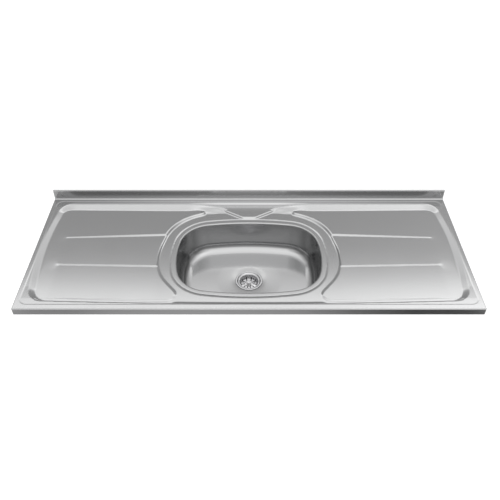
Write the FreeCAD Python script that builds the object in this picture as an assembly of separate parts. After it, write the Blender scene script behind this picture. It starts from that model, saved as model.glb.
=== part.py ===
import FreeCAD, Part
import math
import os

# Lay-on kitchen sink with a drainer on each side of an oval bowl, and its basket waste.
# The frame's origin is the middle of the plan, on the plane that rests on the cabinet.
# +X points right, +Y to the back and +Z up. All lengths are in millimetres.

Vector = FreeCAD.Vector

# The pressed top: overall size, folds and rim
sheet = 0.8
top_length = 1400.0
top_depth = 538.0
apron_height = 25.0
return_width = 17.0
rim_radius = 3.0
end_radius = 2.0
upstand_height = 36.5
upstand_depth = 8.0
upstand_radius = 2.5
cove_radius = 5.0

# The fine line round the rim, where the sheet steps down a little
line_end_margin = 14.0
line_front_y = -250.0
line_back_y = 248.0
line_corner_radius = 25.0
line_drop = 0.6
line_run_share = 2.0

# The recess in the top: where its edge runs and how its four sides slope
recess_end_margin = 36.0
recess_side_bow = 29.0
recess_front_y = -234.0
recess_front_bow = 22.0
recess_back_y = 239.5
recess_corner_radius = 60.0
side_bow_share = 0.62
front_bow_share = 0.85
side_run_share = 4.4
front_run_share = 1.0
drainer_back_run_share = 8.45
middle_back_run_share = 3.96

# Heights of the drainers at their inner and outer ends, and of the floor round the bowl
outer_end_margin = 50.0
inner_end_x = 285.0
outer_level = 20.0
back_level = 19.5
middle_level = 17.0
front_level = 15.5
surround_level = 13.0

# The two steps of each drainer, from their inner to their outer ends
rear_step_inner_y = 70.5
rear_step_outer_y = 56.5
front_step_inner_y = -77.7
front_step_outer_y = -74.0
step_run_share = 2.8

# The sunk area round the bowl, half of its outline from the back to the front gutter
sunk_wall_run_share = 1.5
sunk_back_x = 155.0
sunk_back_y = 186.0
sunk_shoulder_x = 262.0
sunk_shoulder_y = 142.0
sunk_side_x = 296.0
sunk_side_y = -9.0
sunk_hip_x = 294.0
sunk_hip_y = -108.0
sunk_lobe_x = 197.0
gutter_back_y = -222.0
sunk_back_radius = 14.0
sunk_shoulder_radius = 165.0
sunk_side_radius = 300.0
sunk_hip_radius = 160.0
sunk_lobe_radius = 22.0

# The raised tap ledge behind the bowl
ledge_level = 18.0
ledge_nose_x = 22.0
ledge_nose_y = 165.0
ledge_arm_x = 112.0
ledge_arm_y = 220.0
ledge_nose_radius = 18.0
ledge_run_share = 1.6

# The bowl
bowl_y = -26.0
bowl_half_length = 235.0
bowl_half_width = 165.0
bowl_long_radius = 950.0
bowl_end_radius = 350.0
bowl_corner_radius = 107.0
bowl_depth = 113.0
bowl_draft = 8.0
bowl_lip_radius = 4.5
bowl_floor_radius = 38.0
flange_width = 16.7
flange_gap = 0.3
opening_margin = 6.0
dish_radius = 110.0
dish_depth = 1.5
seat_depth = 1.6

# The waste: cup, seals and lower body
waste_radius = 44.5
waste_gap = 0.8
cup_step_radius = 39.3
cup_step_depth = 4.0
cup_ledge_radius = 34.0
cup_floor_radius = 31.0
cup_foot_width = 5.5
plate_radius = 28.2
cup_hole_radius = 4.6
cup_hole_circle = 15.0
cup_hole_count = 8
hole_gap = 0.8
flange_seal_thickness = 0.8
body_seal_thickness = 2.5
body_flange_radius = 43.0
body_flange_thickness = 4.0
body_wall = 2.4
body_gap = 1.6
body_funnel_drop = 12.0
outlet_radius = 23.9
outlet_wall = 3.4
outlet_length = 26.0
hub_radius = 9.0
hub_height = 14.0
hub_gap = 3.0
web_count = 3
web_thickness = 2.5

# The waste's screw, insert and outlet
screw_radius = 3.0
screw_head_radius = 5.5
screw_head_height = 2.8
screw_length = 20.0
thread_gap = 0.05
insert_flats = 11.0
insert_height = 8.0
tail_radius = 20.0
tail_wall = 1.6
tail_neck = 0.4
tail_length = 66.0
tail_flange_radius = 23.4
tail_flange_thickness = 2.2
outlet_seal_thickness = 2.0
nut_radius = 29.0
nut_wall_above = 16.0
nut_lip = 3.0
nut_gap = 0.15
nut_rib_count = 12
nut_rib_radius = 1.8

# The basket with its sliding stopper
basket_sheet = 0.6
basket_radius = 38.4
basket_rim_width = 5.2
basket_rim_height = 1.6
basket_top_radius = 32.2
basket_floor_radius = 26.0
basket_depth = 17.0
basket_floor_rise = 3.0
bush_radius = 5.0
bush_flange_radius = 7.5
bush_height = 6.0
bush_flange_height = 1.0
slot_count = 10
slot_width = 3.2
slot_inner_radius = 13.0
slot_outer_radius = 31.0
post_radius = 2.5
slide_gap = 0.05
knob_radius = 9.0
knob_waist_radius = 5.5
knob_height = 11.0
knob_gap = 0.4
post_grip = 6.0
stopper_radius = 23.0
stopper_thickness = 3.0
stopper_lip_drop = 4.2
stopper_lip_width = 3.8
stopper_travel = 7.0
stopper_gap = 0.5
clip_radius = 5.0
clip_thickness = 0.8
part_gap = 0.3

# Sound-deadening pads on the bowl
pad_thickness = 2.2
wall_pad_length = 220.0
wall_pad_top_drop = 30.0
wall_pad_height = 40.0
floor_pad_length = 56.0
floor_pad_width = 130.0
floor_pad_x = 148.0
floor_pad_corner = 12.0

# Channels and pads under the drainers
channel_sheet = 1.0
channel_web_width = 30.0
channel_foot_width = 14.0
channel_lean = 4.0
outer_channel_margin = 100.0
inner_channel_x = 400.0
channel_end_gap = 1.0
drainer_pad_width = 24.0
drainer_pad_length = 90.0
drainer_pad_places = (-150.0, -2.0, 138.0)

# Fixing angles and the earth tag
bracket_sheet = 1.5
bracket_width = 32.0
bracket_y = 165.0
bracket_drop = 32.0
bracket_slot_width = 5.5
bracket_slot_length = 14.0
bracket_bend_radius = 1.2
tag_width = 14.0
tag_reach = 15.0
tag_hole_radius = 2.6
tag_x = -350.0

# Cuts run past their faces by this much, and no rounded corner is tighter than this
overrun = 5.0
least_radius = 1.0

top_half_length = top_length / 2.0
line_half_length = top_half_length - line_end_margin
recess_corner_x = top_half_length - recess_end_margin
outer_end_x = top_half_length - outer_end_margin
outer_channel_x = top_half_length - outer_channel_margin
rim_level = apron_height
seat_level = surround_level - sheet
floor_level = surround_level - bowl_depth
drain_seat_level = floor_level - dish_depth - seat_depth
lip_level = drain_seat_level + flange_seal_thickness + sheet
basket_seat = lip_level - cup_step_depth + part_gap
basket_floor = basket_seat - basket_depth
bush_top = basket_floor + basket_floor_rise + basket_sheet + bush_flange_height
bush_bottom = bush_top - bush_height
collar_top = bush_bottom - stopper_travel - part_gap
stopper_top = collar_top - clip_thickness
stopper_low = stopper_top - stopper_thickness - stopper_lip_drop
cup_floor_level = stopper_low - stopper_gap


def unit(vector):
    return vector * (1.0 / vector.Length)


def crossing(first, second):
    """Point where two lines in the plan meet; each line is a point and a direction."""
    point, along = first
    other_point, other_along = second
    between = other_point - point
    spread = along.x * other_along.y - along.y * other_along.x
    reach = (between.x * other_along.y - between.y * other_along.x) / spread
    return point + along * reach


def rounded_outline(corners, radii, moves=None, z=0.0):
    """Closed wire with rounded corners; counter-clockwise sides move outwards by moves."""
    count = len(corners)
    moves = moves or [0.0] * count
    sides = []
    for index in range(count):
        start = Vector(corners[index][0], corners[index][1], z)
        end_x, end_y = corners[(index + 1) % count]
        along = unit(Vector(end_x, end_y, z) - start)
        outwards = Vector(along.y, -along.x, 0)
        sides.append((start + outwards * moves[index], along))
    arcs = []
    for index in range(count):
        corner = crossing(sides[index - 1], sides[index])
        before = sides[index - 1][1]
        after = sides[index][1]
        turn = math.atan2(before.x * after.y - before.y * after.x, before.dot(after))
        grown = (moves[index - 1] + moves[index]) / 2.0
        radius = radii[index]
        if radius and grown:
            radius = max(radius + (grown if turn > 0 else -grown), least_radius)
        trim = radius * math.tan(abs(turn) / 2.0)
        sag = radius / math.cos(turn / 2.0) - radius
        first = corner - before * trim
        last = corner + after * trim
        middle = corner
        if radius:
            middle = corner + unit(after - before) * sag
        arcs.append((first, middle, last, radius))
    edges = []
    for index in range(count):
        first, middle, last, radius = arcs[index]
        if radius:
            edges.append(Part.Arc(first, middle, last).toShape())
        edges.append(Part.makeLine(last, arcs[(index + 1) % count][0]))
    return Part.Wire(edges)


def prism(corners, radii, low, high, moves=None):
    """Upright prism on a rounded outline."""
    face = Part.Face(rounded_outline(corners, radii, moves, low))
    return face.extrude(Vector(0, 0, high - low))


def tapered_prism(corners, radii, low, high, moves_low, moves_high):
    """Solid between one outline at two heights, each side moved by its own amount."""
    low_wire = rounded_outline(corners, radii, moves_low, low)
    high_wire = rounded_outline(corners, radii, moves_high, high)
    return Part.makeLoft([low_wire, high_wire], True, True)


def across(shape):
    """Turns a shape drawn in the plan so that its x lies along Y and its y along Z."""
    return shape.rotated(Vector(0, 0, 0), Vector(1, 1, 1), 120)


def upright(shape):
    """Turns a shape drawn in the plan so that its y points up."""
    return shape.rotated(Vector(0, 0, 0), Vector(1, 0, 0), 90)


def mirrored(shape):
    return shape.mirror(Vector(0, 0, 0), Vector(1, 0, 0))


def both_sides(points):
    """Adds to the left half of an outline its mirror image on the right."""
    return points + [(-x, y) for x, y in reversed(points)]


def box(low_x, low_y, low_z, high_x, high_y, high_z):
    size = (high_x - low_x, high_y - low_y, high_z - low_z)
    return Part.makeBox(*size, Vector(low_x, low_y, low_z))


def turned(corners, radii):
    """Solid of revolution about the drain's axis from radius and height pairs."""
    face = Part.Face(upright(rounded_outline(corners, radii)))
    solid = face.revolve(Vector(0, 0, 0), Vector(0, 0, 1), 360)
    return solid.translated(Vector(0, bowl_y, 0))


def turned_sheet(path, radii, thickness):
    """Revolved sheet whose outer or upper side follows the path; it thickens to the left."""
    points = [Vector(r, z, 0) for r, z in path]
    sides = []
    for start, end in zip(points, points[1:]):
        along = unit(end - start)
        sides.append((start + Vector(-along.y, along.x, 0) * thickness, along))
    inner = [sides[0][0]]
    inner_radii = [0.0]
    for index in range(1, len(sides)):
        before = sides[index - 1][1]
        after = sides[index][1]
        turn = before.x * after.y - before.y * after.x
        inner.append(crossing(sides[index - 1], sides[index]))
        radius = radii[index]
        inner_radii.append(radius - math.copysign(thickness, turn) if radius else 0.0)
    last_length = (points[-1] - points[-2]).Length
    reach = sides[-1][0] + sides[-1][1] * last_length
    inner.append(reach)
    inner_radii.append(0.0)
    corners = list(path) + [(point.x, point.y) for point in reversed(inner)]
    return turned(corners, list(radii) + list(reversed(inner_radii)))


def around_drain(shape, count):
    """Copies of a shape, evenly turned about the drain's axis."""
    axis_point = Vector(0, bowl_y, 0)
    copies = []
    for index in range(count):
        copies.append(shape.rotated(axis_point, Vector(0, 0, 1), index * 360.0 / count))
    return copies


def oval(grow, z):
    """Outline of the bowl, moved out by grow: long sides, ends and corners are arcs."""
    half_length = bowl_half_length + grow
    half_width = bowl_half_width + grow
    long_radius = bowl_long_radius + grow
    end_arc_radius = bowl_end_radius + grow
    corner_radius = bowl_corner_radius + grow
    long_y = half_width - long_radius
    end_x = half_length - end_arc_radius
    long_reach = long_radius - corner_radius
    end_reach = end_arc_radius - corner_radius
    spacing = math.hypot(end_x, long_y)
    along = (long_reach ** 2 - end_reach ** 2 + spacing ** 2) / (2.0 * spacing)
    aside = math.sqrt(long_reach ** 2 - along ** 2)
    corner_x = end_x * along / spacing - long_y * aside / spacing
    corner_y = long_y - long_y * along / spacing - end_x * aside / spacing
    long_turn = math.atan2(corner_y - long_y, corner_x)
    end_turn = math.atan2(corner_y, corner_x - end_x)

    def on_arc(centre_x, centre_y, radius, angle):
        return Vector(centre_x + radius * math.cos(angle), centre_y + radius * math.sin(angle), 0)

    quarter = math.pi / 2.0
    arcs = []
    for side, flip in ((1, 1), (-1, -1)):
        end_low = on_arc(end_x, 0, end_arc_radius, -end_turn)
        end_high = on_arc(end_x, 0, end_arc_radius, end_turn)
        end_middle = on_arc(end_x, 0, end_arc_radius, 0)
        corner_middle = on_arc(corner_x, corner_y, corner_radius, (end_turn + long_turn) / 2.0)
        long_start = on_arc(0, long_y, long_radius, long_turn)
        long_middle = on_arc(0, long_y, long_radius, quarter)
        long_end = Vector(-long_start.x, long_start.y, 0)
        far_corner = Vector(-corner_middle.x, corner_middle.y, 0)
        far_end = Vector(-end_high.x, end_high.y, 0)
        for points in ((end_low, end_middle, end_high),
                       (end_high, corner_middle, long_start),
                       (long_start, long_middle, long_end),
                       (long_end, far_corner, far_end)):
            placed = [Vector(side * p.x, flip * p.y + bowl_y, z) for p in points]
            arcs.append(Part.Arc(*placed).toShape())
    return Part.Wire(Part.__sortEdges__(arcs))


def oval_prism(grow, low, high):
    return Part.Face(oval(grow, low)).extrude(Vector(0, 0, high - low))


def edges_at(shape, z):
    """Edges that lie all along at one height."""
    found = []
    for edge in shape.Edges:
        bounds = edge.BoundBox
        if abs(bounds.ZMin - z) < part_gap / 10.0 and abs(bounds.ZMax - z) < part_gap / 10.0:
            found.append(edge)
    return found


def middle_of(edge):
    return edge.valueAt((edge.FirstParameter + edge.LastParameter) / 2.0)


# The pressed top

def wall_shift(gap, run_share):
    """How far a sloping wall moves sideways when it moves square to itself by gap."""
    return gap * math.sqrt(1.0 + run_share ** 2)


def folded_block(gap):
    """The top as a full block with its upstand, all its outer faces moved in by gap."""
    front = -top_depth / 2.0
    back = top_depth / 2.0
    upstand_y = back - upstand_depth
    top = rim_level + upstand_height
    corners = [(front, 0), (back, 0), (back, top), (upstand_y, top),
               (upstand_y, rim_level), (front, rim_level)]
    radii = [0, 0, upstand_radius, upstand_radius, cove_radius, rim_radius]
    outline = rounded_outline(corners, radii, [-gap] * len(corners))
    half = top_length / 2.0 - gap
    block = across(Part.Face(outline)).extrude(Vector(2.0 * half, 0, 0))
    block = block.translated(Vector(-half, 0, 0))
    ends = []
    for edge in block.Edges:
        bounds = edge.BoundBox
        at_end = abs(abs(bounds.Center.x) - half) < part_gap and bounds.XLength < part_gap
        if at_end and bounds.ZMax > gap + part_gap:
            ends.append(edge)
    return block.makeFillet(end_radius - gap, ends)


def recess_prism(gap, back_run_share):
    """Space inside the recess's four sloping sides, above a level under the deck."""
    side_x = recess_corner_x + recess_side_bow
    middle_y = (recess_front_y + recess_back_y) / 2.0
    half_side = (recess_back_y - recess_front_y) / 2.0
    left = [(-recess_corner_x, recess_back_y), (-side_x, middle_y),
            (-recess_corner_x, recess_front_y)]
    front = [(0, recess_front_y - recess_front_bow)]
    right = [(-x, y) for x, y in reversed(left)]
    side_radius = side_bow_share * half_side ** 2 / recess_side_bow
    front_radius = front_bow_share * recess_corner_x ** 2 / recess_front_bow
    radii = [recess_corner_radius, side_radius, recess_corner_radius, front_radius,
             recess_corner_radius, side_radius, recess_corner_radius]
    run_shares = [side_run_share] * 2 + [front_run_share] * 2 + [side_run_share] * 2
    run_shares.append(back_run_share)
    reference = rim_level - line_drop
    low = surround_level - sheet - part_gap
    high = rim_level + overrun / 2.0
    shifts = [wall_shift(gap, share) for share in run_shares]
    moves_low = [shift - share * (reference - low) for shift, share in zip(shifts, run_shares)]
    moves_high = [shift + share * (high - reference) for shift, share in zip(shifts, run_shares)]
    return tapered_prism(left + front + right, radii, low, high, moves_low, moves_high)


def space_above(levels, gap):
    """Space above a surface whose height runs through (x, level) pairs, level across."""
    corners = [(x, level - gap) for x, level in levels]
    top = rim_level + upstand_height
    corners += [(levels[-1][0], top), (levels[0][0], top)]
    face = Part.Face(upright(rounded_outline(corners, [0.0] * len(corners))))
    return face.extrude(Vector(0, top_depth, 0)).translated(Vector(0, -top_depth / 2.0, 0))


def strip_space(inner_level, gap):
    """Space above one strip of both drainers."""
    half = top_length / 2.0
    right = [(inner_end_x, inner_level), (outer_end_x, outer_level), (half, outer_level)]
    left = [(-x, level) for x, level in reversed(right)]
    return space_above(left + right, gap)


def before_step(inner_y, outer_y, level, gap):
    """Space in front of a step's sloping face, on both sides of the sink."""
    slope = (outer_y - inner_y) / (outer_end_x - inner_end_x)
    low = 0.0
    high = rim_level + upstand_height
    shift = wall_shift(gap, step_run_share)
    wires = []
    for x in (0.0, top_length / 2.0):
        y = inner_y + slope * (x - inner_end_x) + shift
        points = [Vector(x, y - step_run_share * (level - low), low),
                  Vector(x, y + step_run_share * (high - level), high),
                  Vector(x, -top_depth, high),
                  Vector(x, -top_depth, low)]
        wires.append(Part.makePolygon(points + points[:1]))
    right = Part.makeLoft(wires, True, True)
    return right.fuse(mirrored(right))


def sunk_prism(gap):
    """Space of the sunk area round the bowl and of the gutter along the front."""
    beyond_back = recess_back_y + top_depth / 2.0
    beyond_front = recess_front_y - top_depth / 2.0
    half = top_length / 2.0
    left = [(-sunk_back_x, beyond_back), (-sunk_back_x, sunk_back_y),
            (-sunk_shoulder_x, sunk_shoulder_y), (-sunk_side_x, sunk_side_y),
            (-sunk_hip_x, sunk_hip_y), (-sunk_lobe_x, gutter_back_y),
            (-half, gutter_back_y), (-half, beyond_front)]
    corners = both_sides(left)
    half_radii = [recess_corner_radius, sunk_back_radius, sunk_shoulder_radius,
                  sunk_side_radius, sunk_hip_radius, sunk_lobe_radius,
                  recess_corner_radius, recess_corner_radius]
    radii = half_radii + list(reversed(half_radii))
    reference = middle_level
    low = surround_level - sheet - part_gap
    high = outer_level + part_gap
    shift = wall_shift(gap, sunk_wall_run_share)
    count = len(corners)
    moves_low = [shift - sunk_wall_run_share * (reference - low)] * count
    moves_high = [shift + sunk_wall_run_share * (high - reference)] * count
    return tapered_prism(corners, radii, low, high, moves_low, moves_high)


def ledge_prism(gap):
    """The raised tap ledge: a blunt wedge that points forward, with sloping sides."""
    slope = (ledge_arm_y - ledge_nose_y) / (ledge_arm_x - ledge_nose_x)
    back_y = recess_back_y + top_depth / 10.0
    back_x = ledge_nose_x + (back_y - ledge_nose_y) / slope
    corners = [(-ledge_nose_x, ledge_nose_y), (ledge_nose_x, ledge_nose_y),
               (back_x, back_y), (-back_x, back_y)]
    radii = [ledge_nose_radius] * len(corners)
    low = surround_level - sheet * 2.0
    high = ledge_level - gap
    shift = wall_shift(gap, ledge_run_share)
    moves_low = [ledge_run_share * (ledge_level - low) - shift] * len(corners)
    moves_high = [ledge_run_share * (ledge_level - high) - shift] * len(corners)
    return tapered_prism(corners, radii, low, high, moves_low, moves_high)


def line_prism(gap):
    """Space inside the fine line round the rim."""
    corners = [(-line_half_length, line_front_y), (line_half_length, line_front_y),
               (line_half_length, line_back_y), (-line_half_length, line_back_y)]
    radii = [line_corner_radius] * len(corners)
    low = rim_level - line_drop - gap
    high = rim_level + overrun
    shift = wall_shift(gap, line_run_share)
    moves_low = [shift - line_run_share * (rim_level - low)] * len(corners)
    moves_high = [shift + line_run_share * (high - rim_level)] * len(corners)
    return tapered_prism(corners, radii, low, high, moves_low, moves_high)


def deck_space(gap):
    """Everything above the pressed surface, or above that surface moved down by gap."""
    back = strip_space(back_level, gap)
    middle = strip_space(middle_level, gap)
    front = strip_space(front_level, gap)
    middle = middle.common(before_step(rear_step_inner_y, rear_step_outer_y, back_level, gap))
    front = front.common(before_step(front_step_inner_y, front_step_outer_y, middle_level, gap))
    drainers = back.fuse([middle, front]).common(recess_prism(gap, drainer_back_run_share))
    half = top_length / 2.0
    outer_base = surround_level + (outer_level - surround_level) * (
        (half - inner_end_x) / (outer_end_x - inner_end_x))
    base = space_above([(-half, outer_base), (-inner_end_x, surround_level),
                        (inner_end_x, surround_level), (half, outer_base)], gap)
    sunk = sunk_prism(gap).common(base).common(recess_prism(gap, middle_back_run_share))
    space = drainers.fuse(sunk).cut(ledge_prism(gap))
    seat = oval_prism(flange_width + flange_gap + gap, seat_level - gap, rim_level)
    return space.fuse([line_prism(gap), seat])


def space_under_deck():
    """The hollow under the pressed sheet, down to the top of the return flange."""
    return folded_block(sheet).cut(deck_space(sheet))


def make_sink_top(hollow):
    body = folded_block(0.0).cut(deck_space(0.0))
    inner_x = top_length / 2.0 - return_width
    inner_y = top_depth / 2.0 - return_width
    throat = box(-inner_x, -inner_y, -overrun, inner_x, inner_y, sheet + part_gap)
    opening = oval_prism(opening_margin, -overrun, rim_level)
    return body.cut([hollow, throat, opening])


# The bowl

def bowl_body(gap):
    """Bowl as a full body with its faces moved out by gap, from the lip plane down."""
    draft_share = bowl_draft / bowl_depth
    shift = wall_shift(gap, draft_share)
    top = surround_level - gap
    bottom = floor_level - gap
    top_move = shift - draft_share * gap
    bottom_move = shift - draft_share * (surround_level - bottom)
    body = Part.makeLoft([oval(bottom_move, bottom), oval(top_move, top)], True, True)
    brim_top = surround_level + (sheet if gap == 0.0 else 0.0)
    brim = oval_prism(flange_width, top, brim_top)
    body = body.fuse(brim).removeSplitter()
    within = Part.Face(oval(flange_width / 2.0, top))
    inner_edges = [edge for edge in edges_at(body, top)
                   if within.isInside(middle_of(edge), part_gap / 10.0, True)]
    body = body.makeFillet(bowl_lip_radius - gap, inner_edges)
    body = body.makeFillet(bowl_floor_radius + gap, edges_at(body, bottom))
    axis = Vector(0, 0, 1)
    seat_radius = waste_radius + waste_gap + gap
    dish = Part.makeCone(seat_radius, dish_radius, dish_depth,
                         Vector(0, bowl_y, bottom - dish_depth), axis)
    seat = Part.makeCylinder(seat_radius, seat_depth + dish_depth,
                             Vector(0, bowl_y, drain_seat_level - gap), axis)
    return body.fuse([dish, seat]).removeSplitter()


def make_bowl():
    hole = Part.makeCylinder(cup_step_radius + hole_gap + sheet, bowl_depth,
                             Vector(0, bowl_y, drain_seat_level - bowl_depth / 2.0))
    return bowl_body(sheet).cut([bowl_body(0.0), hole])


def make_wall_pads():
    """Pads on the outside of the bowl's long walls."""
    draft_share = bowl_draft / bowl_depth
    top = surround_level - wall_pad_top_drop
    bottom = top - wall_pad_height

    def skin(extra):
        shift = wall_shift(sheet + extra, draft_share)
        moves = [shift - draft_share * (surround_level - z) for z in (bottom, top)]
        return Part.makeLoft([oval(moves[0], bottom), oval(moves[1], top)], True, True)

    band = skin(pad_thickness).cut(skin(0.0))
    half = wall_pad_length / 2.0
    pads = []
    for side in (-1.0, 1.0):
        window = box(-half, 0, bottom, half, bowl_half_width * 2.0, top)
        if side < 0:
            window = window.mirror(Vector(0, 0, 0), Vector(0, 1, 0))
        pads.append(band.common(window.translated(Vector(0, bowl_y, 0))))
    return pads


def make_floor_pad(side):
    """Pad under the flat part of the bowl's floor, left or right of the drain."""
    x = side * floor_pad_x
    half_x = floor_pad_length / 2.0
    half_y = floor_pad_width / 2.0
    corners = [(x - half_x, bowl_y - half_y), (x + half_x, bowl_y - half_y),
               (x + half_x, bowl_y + half_y), (x - half_x, bowl_y + half_y)]
    top = floor_level - sheet
    return prism(corners, [floor_pad_corner] * len(corners), top - pad_thickness, top)


# The waste

def make_waste_flange():
    """Pressed cup: a flat lip, a ledge for the basket, and a foot turned in at the bottom."""
    foot_level = cup_floor_level - sheet
    path = [(cup_floor_radius - cup_foot_width, foot_level), (cup_floor_radius, foot_level),
            (cup_ledge_radius, lip_level - cup_step_depth),
            (cup_step_radius, lip_level - cup_step_depth),
            (cup_step_radius + sheet, lip_level), (waste_radius, lip_level)]
    radii = [0, 3.0 * sheet, sheet / 2.0, 2.0 * sheet, sheet / 2.0, 0]
    return turned_sheet([(r, z - sheet) for r, z in path], radii, sheet)


def ring(inner_radius, outer_radius, low, high):
    """Flat ring about the drain's axis."""
    corners = [(inner_radius, low), (outer_radius, low), (outer_radius, high),
               (inner_radius, high)]
    return turned(corners, [0] * len(corners))


def make_cup_plate():
    """Plate with drain holes, which lies on the cup's foot and is held by the screw."""
    plate = ring(screw_radius + part_gap, plate_radius, cup_floor_level - sheet, cup_floor_level)
    hole = Part.makeCylinder(cup_hole_radius, 4.0 * sheet,
                             Vector(cup_hole_circle, bowl_y, cup_floor_level - 2.0 * sheet))
    return plate.cut(around_drain(hole, cup_hole_count))


def make_flange_seal():
    return ring(cup_step_radius + hole_gap + sheet, waste_radius, drain_seat_level,
                drain_seat_level + flange_seal_thickness)


body_top = drain_seat_level - sheet - body_seal_thickness
body_inner_radius = cup_step_radius + body_gap
body_floor = cup_floor_level - sheet - hub_gap
outlet_top = body_floor - body_funnel_drop
outlet_bottom = outlet_top - outlet_length
hub_top = body_floor


def make_body_seal():
    inner = cup_step_radius + hole_gap + sheet
    return ring(inner, body_flange_radius, body_top, body_top + body_seal_thickness)


def make_waste_body():
    """Moulded lower body: flange, cup, funnel and outlet, with a webbed hub inside."""
    outer_radius = body_inner_radius + body_wall
    flange_radius = max(body_flange_radius, outer_radius) + body_wall
    bore_radius = outlet_radius - outlet_wall
    corners = [(body_inner_radius, body_top), (body_inner_radius, body_floor),
               (bore_radius, outlet_top), (bore_radius, outlet_bottom),
               (outlet_radius, outlet_bottom), (outlet_radius, outlet_top - body_wall),
               (outer_radius, body_floor - body_wall),
               (outer_radius, body_top - body_flange_thickness),
               (flange_radius, body_top - body_flange_thickness), (flange_radius, body_top)]
    radii = [0, body_wall, body_wall, 0, 0, body_wall, 2.0 * body_wall, body_wall / 2.0, 0, 0]
    body = turned(corners, radii)
    hub = Part.makeCylinder(hub_radius, hub_height, Vector(0, bowl_y, hub_top - hub_height))
    web = box(0, -web_thickness / 2.0, hub_top - hub_height, body_inner_radius + body_wall / 2.0,
              web_thickness / 2.0, hub_top - part_gap)
    web = web.translated(Vector(0, bowl_y, 0))
    inside = turned([(0, body_top), (0, hub_top - hub_height - overrun),
                     (bore_radius + body_wall / 2.0, hub_top - hub_height - overrun),
                     (bore_radius + body_wall / 2.0, outlet_top),
                     (body_inner_radius + body_wall / 2.0, body_floor),
                     (body_inner_radius + body_wall / 2.0, body_top)], [0] * 6)
    webs = [web_copy.common(inside) for web_copy in around_drain(web, web_count)]
    bore = Part.makeCylinder(screw_radius + part_gap, 2.0 * hub_height,
                             Vector(0, bowl_y, hub_top - 1.5 * hub_height))
    return body.fuse([hub] + webs).cut([bore, hex_solid(insert_flats)]).removeSplitter()


def hex_solid(flats):
    """Hexagonal pocket or nut in the middle of the waste body's hub."""
    radius = flats / math.sqrt(3.0)
    corners = []
    for index in range(6):
        angle = math.radians(60.0 * index)
        corners.append((radius * math.cos(angle), radius * math.sin(angle)))
    low = hub_top - (hub_height + insert_height) / 2.0
    return prism(corners, [0] * 6, low, low + insert_height).translated(Vector(0, bowl_y, 0))


def make_body_insert():
    bore = Part.makeCylinder(screw_radius + thread_gap, 4.0 * hub_height,
                             Vector(0, bowl_y, hub_top - 2.0 * hub_height))
    return hex_solid(insert_flats).cut(bore)


def make_clamp_screw():
    """Pan-head screw down through the plate of the cup, with a round socket."""
    seat = cup_floor_level
    corners = [(0, seat - screw_length), (screw_radius, seat - screw_length),
               (screw_radius, seat), (screw_head_radius, seat),
               (screw_head_radius, seat + screw_head_height), (0, seat + screw_head_height)]
    screw = turned(corners, [0, screw_radius / 3.0, 0, 0, screw_head_height / 3.0, 0])
    socket_radius = screw_radius * 0.8
    socket = Part.makeCylinder(socket_radius, screw_head_height,
                               Vector(0, bowl_y, seat + screw_head_height / 3.0))
    return screw.cut(socket)


seal_bottom = outlet_bottom - outlet_seal_thickness
tail_flange_bottom = seal_bottom - tail_flange_thickness
tail_bottom = tail_flange_bottom - tail_length


def make_outlet_seal():
    return ring(tail_radius - tail_wall, tail_flange_radius, seal_bottom, outlet_bottom)


def make_outlet_tail():
    """Tail pipe with a clamped flange and a slight neck above its free end."""
    bore = tail_radius - tail_wall
    neck = tail_radius - tail_neck
    neck_bottom = tail_flange_bottom - 2.0 * nut_lip
    corners = [(bore, seal_bottom), (bore, tail_bottom), (tail_radius, tail_bottom),
               (tail_radius, neck_bottom), (neck, neck_bottom), (neck, tail_flange_bottom),
               (tail_flange_radius, tail_flange_bottom), (tail_flange_radius, seal_bottom)]
    return turned(corners, [0] * len(corners))


def make_outlet_nut():
    """Coupling nut with grip ribs, its lip under the tail's flange."""
    top = outlet_bottom + nut_wall_above
    bottom = tail_flange_bottom - nut_lip
    bore = outlet_radius + nut_gap
    lip_bore = tail_radius + part_gap
    corners = [(bore, top), (bore, tail_flange_bottom), (lip_bore, tail_flange_bottom),
               (lip_bore, bottom), (nut_radius, bottom), (nut_radius, top)]
    nut = turned(corners, [0, 0, 0, 0, nut_rib_radius, nut_rib_radius / 2.0])
    groove = Part.makeCylinder(nut_rib_radius, 2.0 * nut_wall_above + 2.0 * overrun,
                               Vector(nut_radius + nut_rib_radius / 3.0, bowl_y,
                                      bottom - overrun))
    return nut.cut(around_drain(groove, nut_rib_count))


# The basket and its stopper

def make_strainer_basket():
    """Pressed basket: a rolled rim, a tapering wall and a domed floor with radial slots."""
    path = [(bush_radius, basket_floor + basket_floor_rise),
            (slot_inner_radius, basket_floor + basket_floor_rise),
            (basket_floor_radius, basket_floor), (basket_top_radius, basket_seat),
            (basket_radius - basket_rim_width / 2.0, basket_seat),
            (basket_radius, basket_seat + basket_rim_height)]
    radii = [0, 3.0 * basket_sheet, 5.0 * basket_sheet, 2.0 * basket_sheet,
             2.0 * basket_sheet, 0]
    basket = turned_sheet(path, radii, basket_sheet)
    reach = slot_outer_radius
    length = reach - slot_inner_radius
    half = slot_width / 2.0
    corners = [(slot_inner_radius, -half), (slot_inner_radius + length, -half),
               (slot_inner_radius + length, half), (slot_inner_radius, half)]
    slot = prism(corners, [half * 0.95] * 4, basket_floor - overrun,
                 basket_floor + basket_depth * 0.6)
    slots = around_drain(slot.translated(Vector(0, bowl_y, 0)), slot_count)
    return basket.cut(slots)


def make_hub_bush():
    """Bush clipped in the basket's middle hole."""
    bore = post_radius + slide_gap
    under = basket_floor + basket_floor_rise
    corners = [(bore, bush_bottom), (bush_radius - thread_gap, bush_bottom),
               (bush_radius - thread_gap, under + basket_sheet),
               (bush_flange_radius, under + basket_sheet), (bush_flange_radius, bush_top),
               (bore, bush_top)]
    return turned(corners, [0, 0, 0, 0, bush_flange_height / 2.0, 0])


knob_bottom = bush_top + knob_gap
post_bottom = stopper_top - stopper_thickness - clip_thickness - part_gap


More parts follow.
